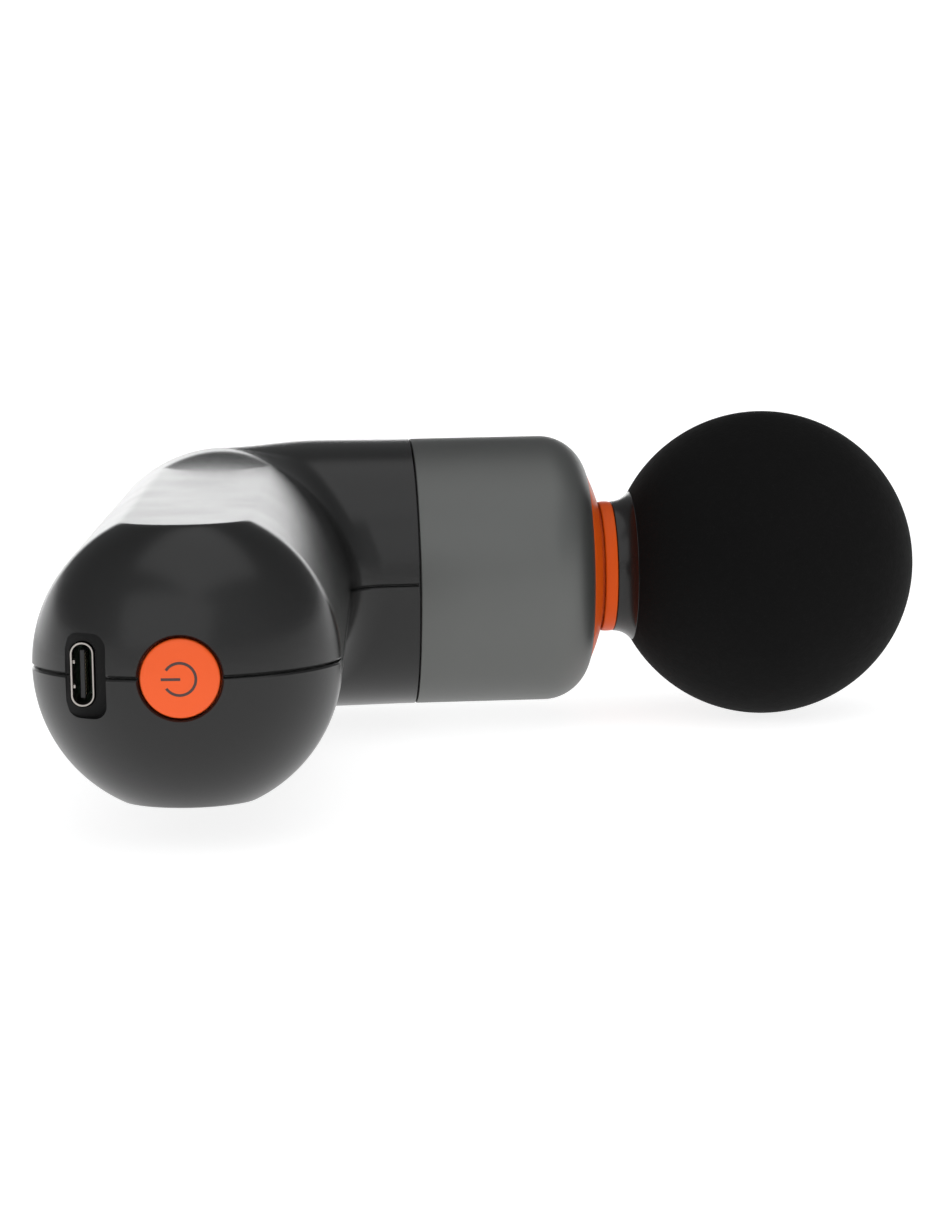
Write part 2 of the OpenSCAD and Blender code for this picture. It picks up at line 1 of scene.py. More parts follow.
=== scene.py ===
# %% [markdown]
# # Mini massage gun, lying on its side
#
# The real object is an L of moulded plastic: a round handle that ends in a dome
# with a button and a charging port, a barrel with a satin metal nose sleeve, and a
# foam ball on a short stem. Every cell builds one piece or one finish of it.
#
# The imported CAD model is loaded first and never changed, and its pieces stay in the scene.

# %% Load the fixed frame
import json
import math
import bmesh
import bpy
import numpy as np
from mathutils import Matrix, Vector


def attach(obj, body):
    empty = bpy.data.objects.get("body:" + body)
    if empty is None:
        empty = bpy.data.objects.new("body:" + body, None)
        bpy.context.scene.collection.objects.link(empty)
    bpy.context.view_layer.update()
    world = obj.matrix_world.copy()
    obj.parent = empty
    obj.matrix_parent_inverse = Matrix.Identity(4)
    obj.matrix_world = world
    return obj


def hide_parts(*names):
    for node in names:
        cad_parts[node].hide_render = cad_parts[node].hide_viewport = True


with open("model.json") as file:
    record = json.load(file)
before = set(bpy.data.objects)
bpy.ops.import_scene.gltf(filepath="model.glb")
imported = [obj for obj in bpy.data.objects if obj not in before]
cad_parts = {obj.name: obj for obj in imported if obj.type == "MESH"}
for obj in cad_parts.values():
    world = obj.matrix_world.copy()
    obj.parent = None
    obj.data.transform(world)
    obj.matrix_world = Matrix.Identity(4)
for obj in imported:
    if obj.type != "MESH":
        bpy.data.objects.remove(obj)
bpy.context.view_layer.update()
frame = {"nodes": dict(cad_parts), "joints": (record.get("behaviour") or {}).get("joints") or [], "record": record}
nodes = frame["nodes"]

# %% [markdown]
# ## Working axes
#
# Sizes are easier to read in millimetres from the point where the handle axis
# and the barrel axis cross, so each piece is drawn there. A matrix then carries
# its mesh to metres in the shared frame. The crossing and the lean of the handle
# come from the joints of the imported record, not from measured numbers.

# %% Axes of the gun, the handle and the barrel
MM = 0.001
joints = {joint["name"]: joint for joint in frame["joints"]}
crossing = Vector(joints["crank_turn"]["pos_m"])
down_handle = -Vector(joints["button_press"]["axis"])
across_handle = Vector((-down_handle.y, down_handle.x, 0))
UP = Vector((0, 0, 1))
FORWARD = Vector((1, 0, 0))


def axes(x, y, z):
    """Matrix whose columns are three directions."""
    return Matrix((x, y, z)).transposed().to_4x4()


GUN = Matrix.Translation(crossing) @ Matrix.Scale(MM, 4)
HANDLE = GUN @ axes(across_handle, UP, down_handle)
BARREL = GUN @ axes(-UP, Vector((0, 1, 0)), FORWARD)
TO_BARREL = GUN.inverted() @ BARREL
TO_HANDLE = GUN.inverted() @ HANDLE
print("lean of the handle", round(math.degrees(math.asin(-down_handle.x)), 2), "degrees")

# %% Sizes of the body, in millimetres
handle_r, dome_r, dome_c = 21.75, 22.3822, 104.718
flat_z, flat_depth = 19.8, 1.95
scoop_top, scoop_low, scoop_r = 7.5, 31, 45
barrel_r, swell_x, barrel_len, sleeve_r = 22.7, 15.8, 31.6, 22.55
crotch_r, wall, seam, reveal = 6, 2, 0.15, 0.3
print("body from", -handle_r, "to", barrel_len, "mm along the barrel,",
      dome_c + dome_r, "mm down the handle")

# %% [markdown]
# ## Helpers for pieces
#
# Turned pieces start as a closed outline. Its corners are rounded with a vertex
# bevel, and the outline is spun round the axis, as a lathe or a moulding tool would
# make it. The spin leaves a seam and poles, so doubles are merged before the
# normals are made to point outwards.

# %% Make an object from a bmesh
scene = bpy.context.scene
CREASE = 35


def piece(name, bm, place, body=None, smooth=CREASE):
    """Close a bmesh into an object whose place is in its mesh."""
    bm.transform(place)
    mesh = bpy.data.meshes.new(name)
    bm.to_mesh(mesh)
    bm.free()
    mesh.shade_smooth()
    if smooth:
        mesh.set_sharp_from_angle(angle=math.radians(smooth))
    obj = bpy.data.objects.new(name, mesh)
    scene.collection.objects.link(obj)
    if body:
        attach(obj, body)
        print("made", name, "with", len(mesh.polygons), "faces")
    return obj


# %% Rounding, and the new corners of an operator
def rounded(bm, geom, offset, segments, affect="EDGES"):
    bmesh.ops.bevel(bm, geom=geom, offset=offset, segments=segments, profile=0.5,
                    affect=affect, material=-1)


def new_corners(result):
    return [v for v in result["geom"] if isinstance(v, bmesh.types.BMVert)]


# %% Outlines and turning
def arc(r, z, radius, start, end, count):
    """Points on an arc in the outline's plane, angles in degrees from +r towards +z."""
    turns = [math.radians(start + (end - start) * k / count) for k in range(count + 1)]
    return [(r + radius * math.cos(a), z + radius * math.sin(a), 0) for a in turns]


def turned(outline, steps=160):
    """Spin a closed outline of (radius, height, corner rounding) round local Z."""
    bm = bmesh.new()
    corners = [bm.verts.new((r, 0, z)) for r, z, _ in outline]
    bm.faces.new(corners)
    for soft in sorted({row[2] for row in outline if row[2]}):
        picked = [v for v, row in zip(corners, outline) if row[2] == soft]
        rounded(bm, picked, soft, 4, "VERTICES")
    bmesh.ops.delete(bm, geom=bm.faces[:], context="FACES_ONLY")
    bmesh.ops.spin(bm, geom=bm.verts[:] + bm.edges[:], cent=(0, 0, 0), axis=(0, 0, 1),
                   angle=2 * math.pi, steps=steps, use_merge=True)
    bmesh.ops.remove_doubles(bm, verts=bm.verts[:], dist=1e-4)
    on_axis = [edge for edge in bm.edges if edge.is_wire]
    bmesh.ops.delete(bm, geom=on_axis, context="EDGES")
    bmesh.ops.recalc_face_normals(bm, faces=bm.faces[:])
    return bm


def rounded_face(w, d, corner, segments):
    """Flat face with round corners, centred on local XY."""
    bm = bmesh.new()
    bmesh.ops.create_grid(bm, x_segments=1, y_segments=1, size=0.5,
                          matrix=Matrix.Diagonal((w, d, 1, 1)))
    rounded(bm, bm.verts[:], corner, segments, "VERTICES")
    return bm


def plate(w, d, corner, h):
    """Plate with round corners, centred on local XY, that stands on Z = 0."""
    bm = rounded_face(w, d, corner, 8)
    raised = bmesh.ops.extrude_face_region(bm, geom=bm.faces[:], use_keep_orig=True)
    bmesh.ops.translate(bm, vec=(0, 0, h), verts=new_corners(raised))
    bmesh.ops.recalc_face_normals(bm, faces=bm.faces[:])
    return bm


# %% Booleans between finished meshes
def applied(obj):
    """Turn an object's modifiers into its mesh."""
    graph = bpy.context.evaluated_depsgraph_get()
    mesh = bpy.data.meshes.new_from_object(obj.evaluated_get(graph))
    obj.modifiers.clear()
    obj.data = mesh
    return obj


def tool(bm, place=Matrix()):
    """A bmesh as a loose object in the gun's own millimetres."""
    return piece("tool", bm, place, smooth=None)


def carve(obj, cutter, operation="DIFFERENCE"):
    """Cut, join or intersect with the cutter, which is used up."""
    mod = obj.modifiers.new("carve", "BOOLEAN")
    mod.solver = "MANIFOLD"
    mod.operation = operation
    mod.object = cutter
    bpy.context.view_layer.update()
    applied(obj)
    bpy.data.objects.remove(cutter)
    return obj


def ring(r_out, r_in, length):
    return turned([(r_in, 0, 0), (r_out, 0, 0), (r_out, length, 0), (r_in, length, 0)], 128)


def rod(r, length):
    return turned([(0, 0, 0), (r, 0, 0), (r, length, 0), (0, length, 0)], 64)


# %% [markdown]
# ## The moulded body as one smooth field
#
# The two shells are one flowing form: a round handle with an end dome and two
# shallow side flats, a barrel that swells a little, and a soft inside corner where
# they meet. Bevels on booleans would pinch there. Instead the form is a signed
# distance field: negative inside, zero on the skin. Overlapping primitives are
# remeshed into one skin, and every vertex then slides along the field's slope until
# the field reads zero, which is the same as sculpting to a template.

# %% Numpy helpers for the field
def smooth_max(a, b, soft):
    h = np.maximum(soft - np.abs(a - b), 0) / soft
    return np.maximum(a, b) + h * h * soft / 4


def smooth_step(x):
    x = np.clip(x, 0, 1)
    return x * x * (3 - 2 * x)


def handle_coordinates(p):
    t = p @ np.array(down_handle)
    u = p @ np.array(across_handle)
    return t, u, p[:, 2]


def barrel_radius(x):
    swell = handle_r + (barrel_r - handle_r) * smooth_step(x / swell_x)
    narrow = (barrel_r - sleeve_r) * smooth_step((x - swell_x) / (barrel_len - swell_x))
    return swell - narrow


# %% Field of the body
# Blends are the widths, in millimetres, over which two skins turn into each other
dome_blend, flat_blend, lift_blend = 0.5, 0.3, 0.04
scoop_power, scoop_limit, corner_reach = 1.8, 20, 10


def body_field(p):
    """Distance outside the body's skin, in millimetres, for rows of points."""
    t, u, z = handle_coordinates(p)
    x, y = p[:, 0], p[:, 1]
    from_crossing = np.sqrt(x * x + y * y + z * z)
    across = np.hypot(u, z)
    side = np.where(t < 0, from_crossing, across) - handle_r
    dome = np.sqrt((t - dome_c) ** 2 + across ** 2) - dome_r
    handle = np.where(t > dome_c, smooth_max(side, dome, dome_blend), side)
    # Side flats that run out towards the elbow in a scoop
    s = (scoop_low - t) / (scoop_low - scoop_top)
    rise = flat_depth * np.sign(s) * np.abs(s) ** scoop_power - u * u / (2 * scoop_r)
    lift = lift_blend * np.logaddexp(0, np.minimum(rise, scoop_limit) / lift_blend)
    handle = smooth_max(handle, np.abs(z) - flat_z - lift, flat_blend)
    round_barrel = np.hypot(y, z)
    barrel = np.where(x < 0, from_crossing - handle_r, round_barrel - barrel_radius(x))
    # The fillet grows with the angle between the two skins
    facing = (u * across_handle.y * y + z * z) / np.maximum(across * round_barrel, 1e-6)
    inside_corner = smooth_step(np.minimum(t, x) / corner_reach)
    k = crotch_r * np.sqrt(np.clip(1 - facing, 1e-6, 2)) * inside_corner + 1e-3
    fillet = k - np.hypot(np.maximum(k - handle, 0), np.maximum(k - barrel, 0))
    return np.where(np.minimum(handle, barrel) < k, fillet, np.minimum(handle, barrel))


def slope(field, p, step=0.05):
    """Gradient of a field at rows of points."""
    out = np.empty_like(p)
    for axis in range(3):
        move = np.zeros(3)
        move[axis] = step
        out[:, axis] = (field(p + move) - field(p - move)) / (2 * step)
    return out


# %% Slide a mesh onto the field
least_slope = 0.3


def read(items, name, width=3, kind=float):
    """One property of every item, as rows of numbers."""
    values = np.empty(len(items) * width, kind)
    items.foreach_get(name, values)
    return values.reshape(-1, width) if width > 1 else values


def settle(mesh, inset, cap_x, rounds):
    """Move vertices behind cap_x along the slope until the field reads -inset."""
    p = read(mesh.vertices, "co")
    free = p[:, 0] < cap_x
    q = p[free]
    for _ in range(rounds):
        gap = body_field(q) + inset
        g = slope(body_field, q)
        q -= g * (gap / np.maximum((g * g).sum(1), least_slope))[:, None]
    p[free] = q
    mesh.vertices.foreach_set("co", p.ravel())
    mesh.update()
    return float(np.abs(body_field(q) + inset).max())


def remeshed(obj, voxel):
    mod = obj.modifiers.new("skin", "REMESH")
    mod.mode = "VOXEL"
    mod.voxel_size = voxel
    return applied(obj)


# %% Grow a skin from two rods and two balls
still_end, ball_gap, first_pass = 3, 0.2, 2.5


def body_skin(inset, voxel, reach):
    """Closed skin of the body, drawn in by inset, whose barrel reaches to x = reach."""
    r = handle_r - inset
    skin = tool(rod(r, reach), TO_BARREL)
    carve(skin, tool(rod(r, dome_c), TO_HANDLE), "UNION")
    for end in (Vector(), TO_HANDLE @ Vector((0, 0, dome_c))):
        bm = bmesh.new()
        bmesh.ops.create_uvsphere(bm, u_segments=64, v_segments=33, radius=r - ball_gap)
        carve(skin, tool(bm, Matrix.Translation(end)), "UNION")
    cap_x = reach - still_end
    remeshed(skin, first_pass * voxel)
    settle(skin.data, inset, cap_x, 4)
    remeshed(skin, voxel)
    print("skin", inset, "vertices", len(skin.data.vertices),
          "worst gap", round(settle(skin.data, inset, cap_x, 7), 4))
    return skin


# %% [markdown]
# ## Seam and openings
#
# The real shells meet at a fine groove. On each side of the parting plane two loops
# are cut into the skin and the inner one is drawn in, so each shell gets its own
# chamfered lip. The inside is hollow, with the bosses, ribs and pocket walls that a
# moulding has, and the port, the button and the screws get their openings. The
# inner part of the upper shell's wall reaches across the seam as a rabbet, so that
# no light passes through it.

# %% Skin with a groove at the parting plane
lip, groove_depth, groove_end = 0.42, 0.24, barrel_len + 5
fine_voxel, wall_voxel, near_cut = 0.46, 1.1, 0.06
outside = body_skin(0, fine_voxel, barrel_len + 12)
bm = bmesh.new()
bm.from_mesh(outside.data)
for height in (-lip, -seam, seam, lip):
    bmesh.ops.bisect_plane(bm, geom=bm.verts[:] + bm.edges[:] + bm.faces[:], dist=near_cut,
                           plane_co=(0, 0, height), plane_no=(0, 0, 1))
bm.to_mesh(outside.data)
bm.free()
p = read(outside.data.vertices, "co")
g = slope(body_field, p)
g /= np.maximum(np.linalg.norm(g, axis=1), 1e-6)[:, None]
depth = groove_depth * np.clip((lip - np.abs(p[:, 2])) / (lip - seam), 0, 1)
depth *= p[:, 0] < groove_end
p -= g * depth[:, None]
outside.data.vertices.foreach_set("co", p.ravel())
outside.data.update()
print("groove", groove_depth, "mm deep and", 2 * lip, "mm wide")

# %% Boxes that keep one part of the body
BIG = 300


def box_tool(low, high):
    bm = bmesh.new()
    bmesh.ops.create_cube(bm, size=1)
    bmesh.ops.scale(bm, vec=Vector(high) - Vector(low), verts=bm.verts[:])
    bmesh.ops.translate(bm, vec=(Vector(low) + Vector(high)) / 2, verts=bm.verts[:])
    return tool(bm)


carve(outside, box_tool((-BIG, -BIG, -BIG), (barrel_len, BIG, BIG)), "INTERSECT")

# %% Places on the axes
def on_handle(t, u=0):
    return TO_HANDLE @ Matrix.Translation((u, 0, t))


def on_barrel(x):
    return TO_BARREL @ Matrix.Translation((0, 0, x))


def upright(x, y, z):
    return Matrix.Translation((x, y, z))


# %% Hollow with bosses, ribs and pocket walls left standing
boss_points = [(26, 17.6), (-11, 12), (-20.59, -103.51), (7.454, -105.276)]
boss_r, boss_reach, motor_rib_out, nose_out, cut_len = 2.7, 30, 40, 30, 20
motor_rib_y, motor_rib_r, motor_rib_t = -34.1, 15.44, 1.6
frame_rib_x, frame_rib_r, frame_rib_t = barrel_len - 4.2, 15, 2
spigot_x, spigot_len, spigot_r, spigot_in = barrel_len - 2, 8.4, 20.85, 19.3
recess_w, recess_t, recess_off, recess_floor = 11.8, 5.86, 13.1, 119.917
pocket_wall, pocket_floor, pocket_corner = 1.2, 1.5, 2.8

hollow = body_skin(wall, wall_voxel, barrel_len + 16)
for x, y in boss_points:
    carve(hollow, tool(rod(boss_r, 2 * boss_reach), upright(x, y, -boss_reach)))
carve(hollow, tool(ring(motor_rib_out, motor_rib_r, motor_rib_t),
                   axes(FORWARD, UP, -Vector((0, 1, 0)))
                   @ Matrix.Translation((0, 0, -motor_rib_y - motor_rib_t))))
carve(hollow, tool(ring(nose_out, frame_rib_r, frame_rib_t), on_barrel(frame_rib_x)))
carve(hollow, tool(ring(nose_out, spigot_in + 0.05, spigot_len), on_barrel(spigot_x)))
carve(hollow, tool(plate(recess_t + 2 * pocket_wall, recess_w + 2 * pocket_wall, pocket_corner,
                         cut_len), on_handle(recess_floor - pocket_floor, -recess_off)))

# %% Cut the whole body
usb_w, usb_t, usb_off, usb_mouth, usb_gap = 8.94, 3.26, 13.7, 120.517, 0.15
recess_corner, slot_corner, slot_back, slot_len = 2, usb_t / 2 + 0.1, 4, 8
button_r, hole_edge, hole_start, hole_stop, hole_chamfer = 5.45, 126.05, 117, 130, 1
hole_r = button_r + reveal
carve(outside, tool(ring(spigot_r, spigot_in, spigot_len), on_barrel(spigot_x)), "UNION")
carve(outside, hollow)
carve(outside, tool(plate(recess_t, recess_w, recess_corner, cut_len),
                    on_handle(recess_floor, -recess_off)))
carve(outside, tool(plate(usb_t + 2 * usb_gap, usb_w + 2 * usb_gap, slot_corner, slot_len),
                    on_handle(recess_floor - slot_back, -usb_off)))
carve(outside, tool(turned([(0, hole_start, 0), (hole_r, hole_start, 0), (hole_r, hole_edge, 0),
                            (hole_r + hole_chamfer, hole_edge + hole_chamfer, 0),
                            (hole_r + hole_chamfer, hole_stop, 0), (0, hole_stop, 0)]),
                    on_handle(0)))

# %% Split into two shells
rabbet_depth, rabbet_low = 1.4, -0.9 * seam


def shell(name, keep):
    obj = bpy.data.objects.new(name, outside.data.copy())
    scene.collection.objects.link(obj)
    return carve(obj, keep, "INTERSECT")


rabbet = body_skin(rabbet_depth, wall_voxel, barrel_len + 16)
carve(rabbet, box_tool((-BIG, -BIG, rabbet_low), (BIG, BIG, BIG)), "INTERSECT")
upper_side = carve(box_tool((-BIG, -BIG, seam), (BIG, BIG, BIG)), rabbet, "UNION")
upper = shell("shell_upper", upper_side)
lower = shell("shell_lower", box_tool((-BIG, -BIG, -BIG), (BIG, BIG, -seam)))
bpy.data.objects.remove(outside)

# %% Drill the screw holes
pilot_r, pilot_len, clear_r, head_r, head_z = 1.12, 9, 1.25, 2.1, -8.5
below = -40
for x, y in boss_points:
    carve(upper, tool(rod(pilot_r, pilot_len), upright(x, y, -1)))
    carve(lower, tool(turned([(0, 2, 0), (clear_r, 2, 0), (clear_r, head_z, 0), (head_r, head_z, 0),
                              (head_r, below, 0), (0, below, 0)], 48), upright(x, y, 0)))

# %% [markdown]
# ## Smooth shading of the shells
#
# Booleans leave thin triangles whose own normals make a smooth skin look dented. The
# field knows the true direction at every point, so the corners that lie on the skin
# take their normals from it. The corners of cut edges keep the mesh's normals.

# %% Smooth shading from the field
shading_step, skin_gap, least_facing, recess_gap, recess_sunk = 0.12, 0.02, 0.75, 0.05, 0.04


def polish(obj):
    """Give the outer skin the field's own normals, and keep cut edges crisp."""
    mesh = obj.data
    mesh.shade_smooth()
    mesh.set_sharp_from_angle(angle=math.radians(CREASE))
    p = read(mesh.vertices, "co")
    reading = body_field(p)
    g = slope(body_field, p, shading_step)
    g /= np.maximum(np.linalg.norm(g, axis=1), 1e-9)[:, None]
    corner_vertex = read(mesh.loops, "vertex_index", 1, int)
    sizes = read(mesh.polygons, "loop_total", 1, int)
    face_normal = np.repeat(read(mesh.polygons, "normal"), sizes, axis=0)
    plain = read(mesh.corner_normals, "vector")
    smooth = g[corner_vertex]
    facing = (smooth * face_normal).sum(1)
    on_skin = (np.abs(reading[corner_vertex]) < skin_gap) & (facing > least_facing)
    mesh.normals_split_custom_set(np.where(on_skin[:, None], smooth, plain).tolist())
    centres = read(mesh.polygons, "center")
    t, u, z = handle_coordinates(centres)
    # Faces sunk in the port's recess take the second slot, whose darker colour is painted shade.
    recess_shade_faces = ((np.abs(u + recess_off) < recess_t / 2 + recess_gap)
                 & (np.abs(z) < recess_w / 2 + recess_gap)
                 & (t > recess_floor - recess_gap) & (body_field(centres) < -recess_sunk))
    mesh.polygons.foreach_set("material_index", recess_shade_faces.astype(int))
    print(obj.name, "triangles", int((sizes - 2).sum()), "on the skin", int(on_skin.sum()))


for obj, node in ((upper, "upper_shell"), (lower, "lower_shell")):
    polish(obj)
    obj.data.transform(GUN)
    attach(obj, "housing")
    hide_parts(node)

# %% [markdown]
# ## Nose sleeve
#
# On the real gun this is a drawn aluminium cup with a generous front corner. A
# turned outline gives the wall, and small bevels at its two rims catch the light
# as a machined edge does.

# %% Turn the nose sleeve
sleeve_wall, nose_x, nose_round, bezel_r = 1.6, 61.8, 8, 16.5
shoulder_x = nose_x - nose_round
corner_r = sleeve_r - nose_round
lip_r = bezel_r + 0.1
steep = math.degrees(math.acos((lip_r - corner_r) / nose_round))
steep_in = math.degrees(math.acos((lip_r - corner_r) / (nose_round - sleeve_wall)))
sleeve_x0 = barrel_len + reveal
FINE_STEPS = 192


def soft_ends(points, first=0, last=0):
    """Outline rows from points, with rounding only at the two ends."""
    ends = [first] + [0] * (len(points) - 2) + [last]
    return [(r, z, soft) for (r, z, _), soft in zip(points, ends)]


outline = [(sleeve_r, sleeve_x0, 0.25)]
outline += soft_ends(arc(corner_r, shoulder_x, nose_round, 0, steep, 24), 0, 0.22)
outline += soft_ends(arc(corner_r, shoulder_x, nose_round - sleeve_wall, steep_in, 0, 16))
outline += [(sleeve_r - sleeve_wall, sleeve_x0, 0.2)]
sleeve = piece("sleeve", turned(outline, FINE_STEPS), BARREL, "housing")
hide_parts("nose_sleeve")

# %% [markdown]
# ## Bezel, accent ring and collar
#
# Three rings make the neck: a domed orange bezel in the nose, an orange ring on the
# massage head, and a dark collar that flares out to carry the foam. Each is turned.
# The accent ring is a little bulged and has a lower step at its back, so that a dark
# line shows between the two orange rings.

# %% Turn the nose bezel
bezel_rim_x, bezel_c, bezel_dome_r, bezel_hole_r = 61.5587, 26.221, 39, 11.6
start = math.degrees(math.acos(bezel_r / bezel_dome_r))
stop = math.degrees(math.acos(bezel_hole_r / bezel_dome_r))
skirt_in, skirt_out, skirt_x, bezel_back = 14.7, 16.2, 53.96, bezel_rim_x - 2
outline = soft_ends(arc(0, bezel_c, bezel_dome_r, start, stop, 12), 0.2, 0.55)
outline += [(bezel_hole_r, bezel_back, 0.2), (skirt_in, bezel_back, 0)]
outline += [(skirt_in, skirt_x, 0.2), (skirt_out, skirt_x, 0.2)]
outline += [(skirt_out, bezel_back, 0), (bezel_r, bezel_back, 0.2)]
bezel = piece("bezel", turned(outline, FINE_STEPS), BARREL, "housing")
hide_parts("nose_bezel")

# %% Turn the accent ring of the head
collar_x, collar_r, ring_w, ring_seat_r = 63.256, 11.1, 2.8, 9.3
ring_end, ring_bore = collar_x + ring_w - 0.05, ring_seat_r + 0.02
bulge_r, shoulder_r, shoulder_end = 6, collar_r - 0.9, collar_x + 0.6
half_turn = math.degrees(math.asin((ring_end - shoulder_end) / 2 / bulge_r))
middle = (shoulder_end + ring_end) / 2
bulge = arc(collar_r - bulge_r, middle, bulge_r, -half_turn, half_turn, 10)
outline = [(ring_bore, collar_x, 0.1), (shoulder_r, collar_x, 0.15), (shoulder_r, shoulder_end, 0)]
outline += soft_ends(bulge, 0.35, 0.15) + [(ring_bore, ring_end, 0.1)]
head_ring = piece("head_ring", turned(outline), BARREL, "head")
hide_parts("accent_ring")

# %% Turn the stem with its ring grooves and flared collar
stem_r, stem_len, core_r, core_end = 7.45, 21, 10, 85.9869
groove_r, groove_w, groove_shares = 5.93, 1.6, (0.7, 0.32)
stem_start = collar_x - stem_len
outline = [(0, stem_start, 0), (stem_r, stem_start, 0.7)]
for share in groove_shares:
    groove_x = collar_x - stem_len * share
    a, b = groove_x - groove_w / 2, groove_x + groove_w / 2
    outline += [(stem_r, a, 0.1), (groove_r, a, 0), (groove_r, b, 0), (stem_r, b, 0.1)]
flare_len, flare_r = 3.3, 12.8
flare_x = collar_x + ring_w + flare_len
flare_arc = (flare_len ** 2 + (flare_r - collar_r) ** 2) / (2 * (flare_r - collar_r))
flare_foot = flare_x - flare_len
flare_angle = 180 - math.degrees(math.asin(flare_len / flare_arc))
flare = arc(collar_r + flare_arc, flare_foot, flare_arc, 180, flare_angle, 14)
outline += [(stem_r, collar_x, 0), (ring_seat_r, collar_x, 0.1), (ring_seat_r, flare_foot, 0)]
outline += soft_ends(flare, 0.15, 0.25)
outline += [(core_r, flare_x, 0), (core_r, core_end, 0.6), (0, core_end, 0)]
stem = piece("stem", turned(outline), BARREL, "head")
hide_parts("head_core")

# %% [markdown]
# ## Foam ball
#
# The ball is closed-cell foam, moulded in one piece over the stem. A sphere made of
# even triangles has no poles to show, so an icosphere is opened at the collar, its
# rim is drawn in to the stem, and the skin gets the slight unevenness of foam.

# %% Shape the foam ball
FOAM_SEED, WAVES = 4, 14
ball_x, ball_r, wave_rate, unevenness = 91.9869, 26, 0.16, 0.0016
foam_back, bore_r, bore_end = flare_x + 0.05, core_r + 0.05, core_end + 0.2
bm = bmesh.new()
bmesh.ops.create_icosphere(bm, subdivisions=6, radius=ball_r)
rng = np.random.default_rng(FOAM_SEED)
waves = rng.normal(size=(WAVES, 3)) * wave_rate
phases = rng.uniform(0, 2 * math.pi, WAVES)
for v in bm.verts:
    swell = np.sin(waves @ np.array(v.co) + phases).mean()
    v.co *= 1 - unevenness * (1 + swell)
bmesh.ops.translate(bm, vec=(0, 0, ball_x), verts=bm.verts[:])
bmesh.ops.bisect_plane(bm, geom=bm.verts[:] + bm.edges[:] + bm.faces[:], dist=0.02,
                       plane_co=(0, 0, foam_back), plane_no=(0, 0, 1), clear_inner=True)


def draw_rim(bm, r, dz):
    """Extrude the open rim inwards to radius r and move it by dz."""
    rim = [edge for edge in bm.edges if edge.is_boundary]
    for v in new_corners(bmesh.ops.extrude_edge_only(bm, edges=rim)):
        across = math.hypot(v.co.x, v.co.y)
        v.co = (v.co.x * r / across, v.co.y * r / across, v.co.z + dz)


rim_r = max(math.hypot(v.co.x, v.co.y) for v in bm.verts if v.is_boundary)
rolled_edge = [(rim_r - 0.1, -0.06), (rim_r - 0.4, -0.03)]
for r, dz in rolled_edge + [(bore_r, 0), (bore_r, bore_end - foam_back)]:
    draw_rim(bm, r, dz)
bmesh.ops.holes_fill(bm, edges=[edge for edge in bm.edges if edge.is_boundary])
bmesh.ops.recalc_face_normals(bm, faces=bm.faces[:])
foam = piece("foam_head", bm, BARREL, "head", smooth=50)
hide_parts("foam_ball")
print("foam triangles", sum(len(f.vertices) - 2 for f in foam.data.polygons))

# %% [markdown]
# ## Power button and its mark
#
# The button's face continues the dome, so it is turned with the dome's own radius
# and a rounded edge. The mark is a generic power sign: an open arc and a bar. It is
# a thin inlay of its own, laid on the dome, so that it stays sharp in any view.

# %% Turn the power button
flange_r, flange_top, flange_t, rod_r, rod_end = 6.95, 123.578, 1.4, 2, 114.3
edge = math.degrees(math.acos(button_r / dome_r))
outline = soft_ends(arc(0, dome_c, dome_r, 90, edge, 14), 0, 0.4)
outline += [(button_r, flange_top, 0.1), (flange_r, flange_top, 0.2)]
outline += [(flange_r, flange_top - flange_t, 0.2), (rod_r, flange_top - flange_t, 0.2)]
outline += [(rod_r, rod_end, 0.3), (0, rod_end, 0)]
button = piece("button_cap", turned(outline), HANDLE, "button")
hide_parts("power_button")

# %% Lay the power mark on the button
mark_r, stroke, opening, bar_reach, bar_past = 2.2, 0.38, 34, 2.65, 0.1
inlay, sunk = 0.05, 0.6
bm = bmesh.new()
spoke = [bm.verts.new((mark_r + side * stroke / 2, 0, 0)) for side in (-1, 1)]
rule = bm.edges.new(spoke)
bmesh.ops.rotate(bm, verts=spoke, matrix=Matrix.Rotation(math.radians(180 + opening), 3, "Z"))
bmesh.ops.spin(bm, geom=spoke + [rule], cent=(0, 0, 0), axis=(0, 0, 1),
               angle=math.radians(360 - 2 * opening), steps=48)
bar_place = Matrix.Translation((-bar_reach / 2 + bar_past, 0, 0))
bmesh.ops.create_grid(bm, x_segments=12, y_segments=1, size=0.5,
                      matrix=bar_place @ Matrix.Diagonal((bar_reach, stroke, 1, 1)))
bmesh.ops.recalc_face_normals(bm, faces=bm.faces[:])
for v in new_corners(bmesh.ops.extrude_face_region(bm, geom=bm.faces[:], use_keep_orig=True)):
    v.co.z = inlay
for v in bm.verts:
    v.co.z += dome_c + math.sqrt(dome_r ** 2 - v.co.x ** 2 - v.co.y ** 2) - inlay * sunk
bmesh.ops.recalc_face_normals(bm, faces=bm.faces[:])
piece("power_mark", bm, HANDLE, "button")

# %% [markdown]
# ## Charging port
#
# The port's shell is a deep-drawn steel sleeve with a rounded mouth. A face with
# fully round ends is inset to a rim, the middle is opened, and the rim is raised
# from the board to the mouth. Two latches stand in it to hold a plug, and the
# tongue carries twelve plated pads on each side.

# %% Draw the port shell
port_wall, port_rim, board_face = 0.3, 0.1, 109.22


def in_port(t):
    return HANDLE @ Matrix.Translation((-usb_off, 0, t))


